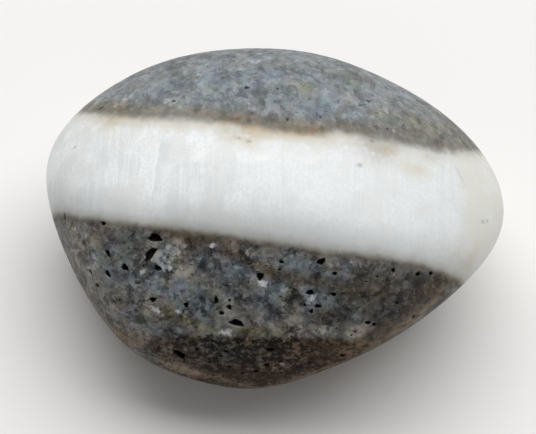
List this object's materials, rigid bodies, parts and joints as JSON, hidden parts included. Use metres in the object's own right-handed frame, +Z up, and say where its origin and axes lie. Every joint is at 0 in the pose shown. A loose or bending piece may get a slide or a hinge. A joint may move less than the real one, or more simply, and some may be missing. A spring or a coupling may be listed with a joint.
{
  "type": "river pebble",
  "caption": "Lopsided oval river pebble of dark grey rock crossed by a white quartz vein, with a worn front face, a ledge and small pits; lies on a small flat.",
  "frame": {"origin": "middle of the stone's box, at the level of its resting flat", "axes": "+X along the length towards the narrow end, +Y to the back, away from the ledge, +Z up"},
  "size_m": [0.0458, 0.0356, 0.023],
  "materials": {
    "banded_stone": "matt, water-worn grey rock with a satin white quartz vein"
  },
  "bodies": {
    "root": {"pebble": "banded_stone"}
  },
  "joints": []
}
